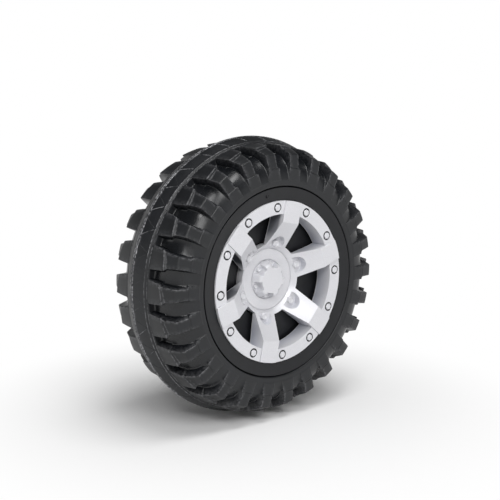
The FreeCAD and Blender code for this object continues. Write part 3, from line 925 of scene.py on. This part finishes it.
def spoke_cover():
    """Silver cover with rounded edges, nut pockets in the spokes and recesses for the bolts."""
    mesh = cover_mesh()
    mesh.materials.append(cover_paint)
    piece = add_object("spoke_cover_face", mesh)
    soften = piece.modifiers.new("soft_edges", "BEVEL")
    soften.width = 0.6 * MM
    soften.segments = 2
    soften.limit_method = "ANGLE"
    soften.angle_limit = math.radians(14)
    soften.use_clamp_overlap = True
    apply_modifiers(piece)
    cuts = cover_cuts()
    boolean = piece.modifiers.new("cuts", "BOOLEAN")
    boolean.operation = "DIFFERENCE"
    boolean.solver = "EXACT"
    boolean.object = cuts
    bpy.context.view_layer.update()
    apply_modifiers(piece)
    bpy.data.objects.remove(cuts)
    for polygon in piece.data.polygons:
        polygon.use_smooth = True
    return keep_flats(piece, angle=32)


# Bolts, nuts and cap

head_sides = 36


def hex_rings(flats, height, turn, top_round, dish):
    """Rings of a hexagon head from the middle of its top to its foot: lists of (x, z, depth)."""
    half = flats / 2
    # The corners are blunt, and the round top reaches a little past the flats.
    blunt_corner = half / math.cos(math.radians(30)) * 0.985
    top_reach = half * 1.03

    def ring(reach_at, depth):
        """One ring, from how far it reaches at each angle."""
        corners = []
        for i in range(head_sides):
            degrees = i * 360.0 / head_sides
            a = math.radians(degrees + turn)
            corners.append((reach_at(degrees) * math.cos(a), reach_at(degrees) * math.sin(a), depth))
        return corners

    def hexagon(degrees):
        """How far the six sides reach."""
        from_flat = (degrees + 30) % 60 - 30
        return min(half / math.cos(math.radians(from_flat)), blunt_corner)

    top = ((0.0, dish), (0.55, dish), (0.78, 0.0), (0.88, top_round * 0.25), (0.96, top_round))
    rings = [ring(lambda degrees: scale * top_reach, depth) for scale, depth in top]
    return rings + [ring(hexagon, depth) for depth in (top_round * 1.25, height)]


def hex_heads(name, places, flats, height, top_round, dish=0.0):
    """Silver hexagon heads that face the front at several places: each is (centre, turn)."""
    points = []
    faces = []
    for centre, turn in places:
        rings = hex_rings(flats, height, turn, top_round, dish)
        faces += ring_faces(len(rings), head_sides, len(points))
        for ring in rings:
            points += [centre + Vector((x, depth, -z)) * MM for x, z, depth in ring]
    piece = new_piece(name, points, faces, cover_paint, weld=0.0001 * MM)
    return keep_flats(piece, angle=35)


def bolt_heads():
    """The bolts' heads, each in its recess."""
    places = []
    for i in range(bolt_count):
        angle = bolt_phase + i * bolt_pitch
        places.append((on_wheel(bolt_circle, angle, trim_plane - 0.9), angle))
    return hex_heads("bolt_heads", places, flats=8.0, height=1.8, top_round=0.5)


def bolt_wells():
    """Dark discs at the bottom of the bolts' recesses."""
    reach = recess_radius - 0.05
    top = recess_depth - 0.28
    foot = recess_depth - 0.02
    rings = ((0.0, top), (reach, top), (reach, foot), (0.0, foot))
    points = []
    faces = []
    for i in range(bolt_count):
        faces += ring_faces(len(rings), round_sides, len(points))
        centre = on_wheel(bolt_circle, bolt_phase + i * bolt_pitch, trim_plane)
        points += ring_points(centre, rings, round_sides)
    piece = new_piece("bolt_wells", points, faces, rim_plastic, weld=0.0001 * MM)
    return keep_flats(piece, angle=40)


def pocket_nuts():
    """A nut on the floor of each spoke's pocket."""
    height = 4.0
    places = []
    for s in range(spoke_count):
        angle = spoke_phase + s * spoke_pitch
        places.append((on_wheel(nut_circle, angle, trim_plane + pocket_floor - height), angle))
    return hex_heads("pocket_nuts", places, flats=9.5, height=height, top_round=0.9, dish=0.8)


# Sections of the cap as (radius, depth behind the ring's face): through the knob's plain side and
# through one of its notches, and the rest that both share.
knob_side = [
    (14.0, 15.4), (18.6, 15.4), (20.0, 15.4), (20.7, 15.6), (21.2, 16.0), (22.0, 17.0), (22.5, 17.8),
    (22.8, 18.8), (23.9, 22.0), (24.9, 25.0), (25.3, 26.4), (25.4, 27.3), (25.5, 28.9), (26.3, 28.9),
    (26.7, 27.4),
]
notch_side = [
    (14.0, 15.4), (16.2, 15.4), (17.0, 15.4), (17.4, 15.6), (17.6, 16.0), (17.6, 17.0), (17.6, 20.0),
    (17.7, 23.0), (17.9, 25.2), (18.6, 26.0), (24.5, 26.0), (25.2, 26.4), (25.5, 28.6), (26.3, 28.8),
    (26.7, 27.4),
]
cap_plate = [
    (28.0, 27.4), (38.0, 27.4), (39.2, 27.2), (40.3, 26.8), (41.1, 27.0), (41.55, 27.6), (41.55, 39.4),
    (38.9, 39.4), (38.9, 30.0), (14.0, 30.0),
]
# Columns of points round the cap in each pitch: (degrees from the notch's middle, share cut away).
notch_columns = [
    (-25.0, 0.0), (-20.5, 0.0), (-18.5, 0.0), (-18.0, 0.03), (-17.6, 0.12), (-17.2, 0.85), (-16.7, 1.0),
    (-11.0, 1.0), (-5.5, 1.0), (0.0, 1.0), (5.5, 1.0), (11.0, 1.0), (16.7, 1.0), (17.2, 0.85), (17.6, 0.12),
    (18.0, 0.03), (18.5, 0.0), (20.5, 0.0), (25.0, 0.0), (30.0, 0.0),
]


def hub_cap():
    """Round cap with a rounded edge and, in its middle, a knob with a notch at every spoke."""
    rows = len(knob_side) + len(cap_plate)
    points = []
    for s in range(spoke_count):
        for offset, cut in notch_columns:
            angle = spoke_phase + s * spoke_pitch + offset
            for (ra, da), (rb, db) in zip(knob_side, notch_side):
                points.append(on_wheel(ra + (rb - ra) * cut, angle, trim_plane + da + (db - da) * cut))
            for radius, depth in cap_plate:
                points.append(on_wheel(radius, angle, trim_plane + depth))
    around = spoke_count * len(notch_columns)
    faces = []
    for i in range(around):
        j = (i + 1) % around
        for k in range(rows - 1):
            faces.append((i * rows + k, j * rows + k, j * rows + k + 1, i * rows + k + 1))
    faces.append(tuple(i * rows for i in range(around)))
    faces.append(tuple(i * rows + rows - 1 for i in range(around)))
    return keep_flats(new_piece("hub_cap", points, faces, cover_paint))


def cap_bumps():
    """A small stud on the sill of each notch."""
    sill_circle = 22.4
    bump_top = 23.4
    places = []
    for s in range(spoke_count):
        angle = spoke_phase + s * spoke_pitch
        places.append((on_wheel(sill_circle, angle, trim_plane + bump_top), angle))
    return hex_heads("cap_bumps", places, flats=5.6, height=2.6, top_round=0.5, dish=0.7)


tyre = tyre_skin()
panels = band_panels()
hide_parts("tyre")
outer_rim = rim_outer()
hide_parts("rim_front")
nub = vent_nub()
inner_rim = rim_inner()
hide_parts("rim_back")
cover = spoke_cover()
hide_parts("spoke_cover")
bolts = bolt_heads()
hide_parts("ring_bolts")
wells = bolt_wells()
nuts = pocket_nuts()
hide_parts("lug_nuts")
cap = hub_cap()
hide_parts("centre_cap")
bumps = cap_bumps()
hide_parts("cap_studs")
for piece in (tyre, panels, outer_rim, nub, inner_rim, cover, bolts, wells, nuts, cap, bumps):
    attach(piece, "wheel")

for node, material in (
        ("axle_shaft", plated_steel), ("inner_washer", plated_steel), ("outer_washer", plated_steel),
        ("lock_nut", plated_steel), ("front_bush", bush_plastic), ("back_bush", bush_plastic),
        ("drive_socket", rim_plastic)):
    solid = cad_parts[node]
    solid.data.materials.clear()
    solid.data.materials.append(material)


# Studio

def seen_in_gloss(tree):
    """One where a mirror or glass looks at a surface."""
    path = add_node(tree, "ShaderNodeLightPath")
    return add_node(
        tree, "ShaderNodeMath", {0: path.outputs["Is Glossy Ray"], 1: path.outputs["Is Transmission Ray"]},
        operation="MAXIMUM").outputs[0]


def seen_directly(tree):
    """One where the eye, a mirror or glass looks straight at a surface."""
    path = add_node(tree, "ShaderNodeLightPath")
    return add_node(
        tree, "ShaderNodeMath", {0: path.outputs["Is Camera Ray"], 1: seen_in_gloss(tree)},
        operation="MAXIMUM").outputs[0]


def backdrop_paper():
    """Matt white paper that takes the wheel's shadow and fades into the white all round it."""
    material, tree = new_material("matt_white_paper")
    place = add_node(tree, "ShaderNodeNewGeometry").outputs["Position"]
    # The paper turns to plain white from 100 to 440 mm away from the spot where the tyre stands.
    away = add_node(
        tree, "ShaderNodeVectorMath", {0: place}, {1: (0.0, tyre_centre * MM, floor_level * MM)},
        operation="DISTANCE")
    fade = add_node(
        tree, "ShaderNodeMapRange", {"Value": away.outputs["Value"]}, interpolation_type="SMOOTHSTEP",
        From_Min=100.0 * MM, From_Max=440.0 * MM, To_Min=0.0, To_Max=1.0)
    amount = add_node(
        tree, "ShaderNodeMath", {0: fade.outputs["Result"], 1: seen_directly(tree)}, operation="MULTIPLY")
    paper = add_node(tree, "ShaderNodeBsdfDiffuse", Color=linear("#FAFAFA"))
    white = add_node(tree, "ShaderNodeEmission", Color=linear("#FFFFFF"), Strength=1.0)
    mix = add_node(
        tree, "ShaderNodeMixShader", {0: amount.outputs[0], 1: paper.outputs[0], 2: white.outputs[0]})
    add_node(tree, "ShaderNodeOutputMaterial", {"Surface": mix.outputs[0]})
    return material


def studio_floor():
    """A wide flat floor under the tyre."""
    reach = 9.0
    z = floor_level * MM
    mesh = bpy.data.meshes.new("studio_floor")
    mesh.from_pydata(
        [(-reach, -reach, z), (reach, -reach, z), (reach, reach, z), (-reach, reach, z)], [], [(0, 1, 2, 3)])
    mesh.materials.append(backdrop_paper())
    floor = add_object("studio_floor", mesh)


def studio_world():
    """Pale walls and a darker ceiling; the eye sees plain white, and gloss sees white walls."""
    world = bpy.data.worlds.new("studio")
    bpy.context.scene.world = world
    world.use_nodes = True
    tree = world.node_tree
    tree.nodes.clear()
    direction = add_node(tree, "ShaderNodeTexCoord").outputs["Generated"]
    height = add_node(tree, "ShaderNodeSeparateXYZ", {"Vector": direction}).outputs["Z"]
    soft_walls = add_node(
        tree, "ShaderNodeMapRange", {"Value": height}, interpolation_type="SMOOTHSTEP",
        From_Min=0.1, From_Max=0.7, To_Min=0.53, To_Max=0.14)
    soft = add_node(
        tree, "ShaderNodeBackground", {"Strength": soft_walls.outputs["Result"]}, Color=linear("#FFFFFF"))
    white_walls = add_node(
        tree, "ShaderNodeMapRange", {"Value": height}, interpolation_type="SMOOTHSTEP",
        From_Min=0.05, From_Max=0.4, To_Min=1.0, To_Max=0.1)
    mirrored = add_node(
        tree, "ShaderNodeBackground", {"Strength": white_walls.outputs["Result"]}, Color=linear("#FFFFFF"))
    seen = add_node(tree, "ShaderNodeBackground", Color=linear("#FFFFFF"), Strength=1.0)
    room = add_node(
        tree, "ShaderNodeMixShader", {0: seen_in_gloss(tree), 1: soft.outputs[0], 2: mirrored.outputs[0]})
    path = add_node(tree, "ShaderNodeLightPath")
    mix = add_node(
        tree, "ShaderNodeMixShader",
        {0: path.outputs["Is Camera Ray"], 1: room.outputs[0], 2: seen.outputs[0]})
    add_node(tree, "ShaderNodeOutputWorld", {"Surface": mix.outputs[0]})


def softbox(name, direction, distance, width, height, watts):
    """A soft light that looks at the wheel's middle from a direction; its lengths are in metres."""
    light = bpy.data.lights.new(name, "AREA")
    light.shape = "RECTANGLE"
    light.size = width
    light.size_y = height
    light.energy = watts
    away = Vector(direction).normalized()
    lamp = add_object(name, light)
    lamp.location = Vector((0, tyre_centre * MM, 0)) + away * distance
    lamp.rotation_mode = "QUATERNION"
    lamp.rotation_quaternion = (-away).to_track_quat("-Z", "Y")


def photo_camera():
    """The camera at the photograph's place, direction and angle of view."""
    azimuth = math.radians(-39.502)
    elevation = math.radians(9.747)
    level = math.cos(elevation)
    back = Vector((math.sin(azimuth) * level, -math.cos(azimuth) * level, math.sin(elevation)))
    data = bpy.data.cameras.new("photo_camera")
    data.sensor_width = 36.0
    data.lens = 74.653
    data.clip_start = 0.05
    camera = add_object("photo_camera", data)
    # In metres, like the softboxes' distances.
    camera.location = Vector((-0.87783, -1.15487, 0.27163))
    camera.rotation_mode = "QUATERNION"
    camera.rotation_quaternion = (-back).to_track_quat("-Z", "Y")
    bpy.context.scene.camera = camera


studio_floor()
studio_world()
softbox("key_softbox", (-0.30, -0.73, 0.61), 2.2, 1.3, 1.0, 21.3)
softbox("top_softbox", (0.02, -0.3, 1.0), 2.2, 1.3, 0.7, 21.0)
softbox("side_softbox", (-0.66, -0.48, 0.55), 2.0, 0.35, 0.35, 5.0)
photo_camera()
bpy.context.scene.view_settings.view_transform = "Standard"
